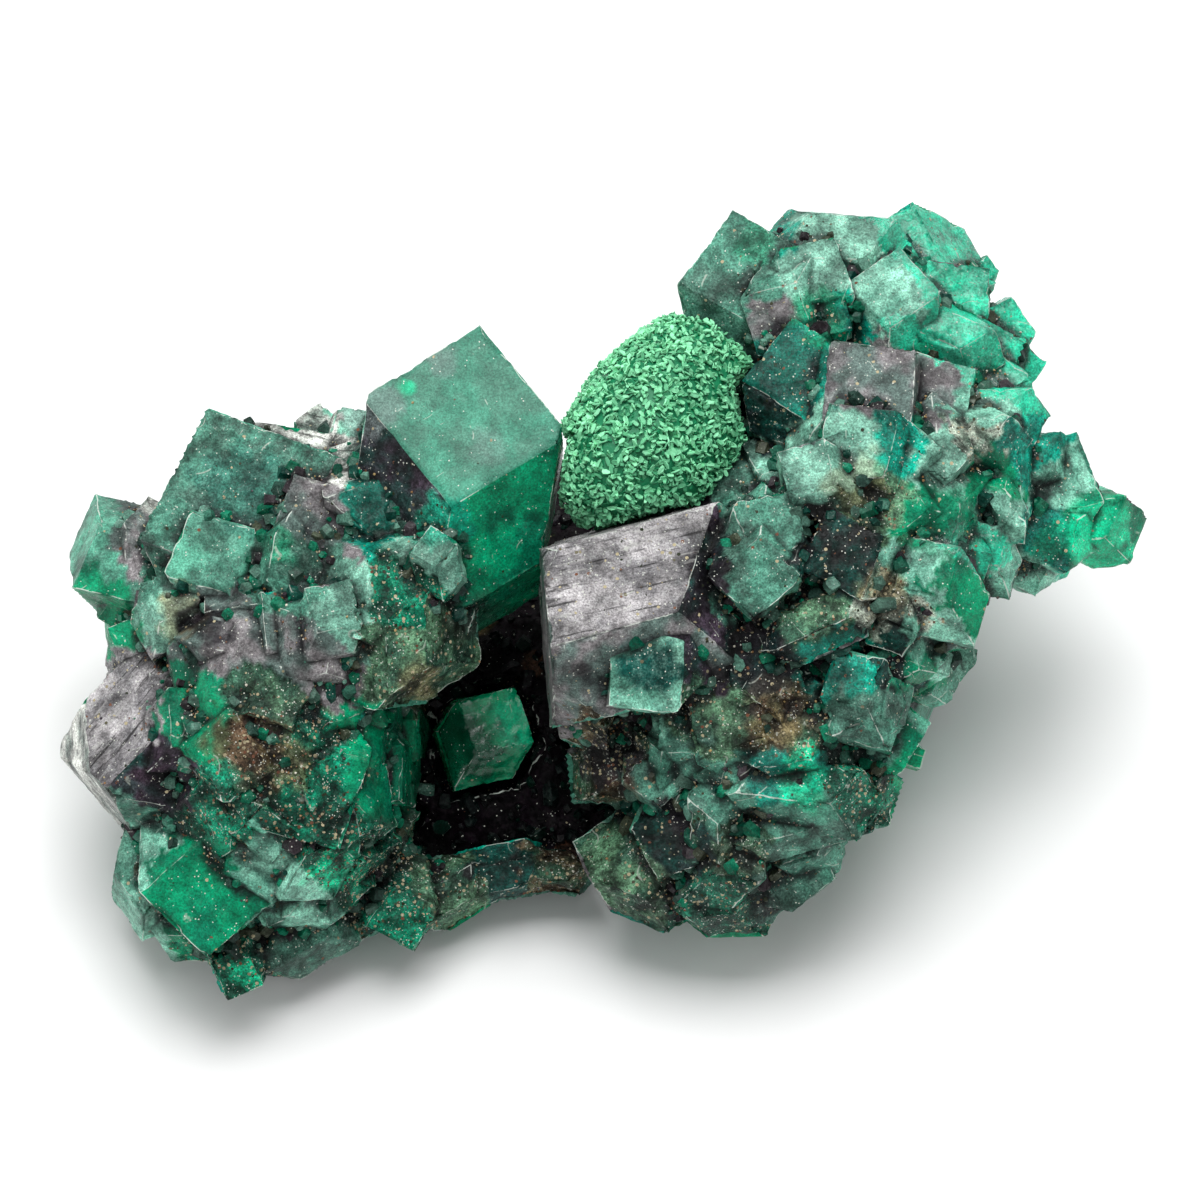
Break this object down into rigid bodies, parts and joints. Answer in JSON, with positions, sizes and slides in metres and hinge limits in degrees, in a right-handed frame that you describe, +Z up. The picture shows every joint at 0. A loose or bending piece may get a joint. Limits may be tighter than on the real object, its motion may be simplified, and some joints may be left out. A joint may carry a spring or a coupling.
{
  "type": "dioptase specimen",
  "caption": "Free-standing mineral specimen: groups of stout emerald-green dioptase crystals on dark matrix, with a lime-green druse of small plates.",
  "frame": {"origin": "middle of the bounding box's bottom, on the flat cut that the specimen rests on", "axes": "+Z up from the cut, +X along the length from the left crystal group to the right one, +Y away from the front"},
  "size_m": [0.0598, 0.0408, 0.0258],
  "materials": {
    "dioptase": "translucent emerald-green crystal with glassy to frosted faces",
    "matrix_rock": "near-black granular rock with small sparkles",
    "druse": "lime-green crust of small crystal plates"
  },
  "bodies": {
    "root": {"left_crystal_group": "dioptase", "right_crystal_group": "dioptase", "recess_crystal": "dioptase", "matrix": "matrix_rock", "green_druse": "druse"}
  },
  "joints": []
}
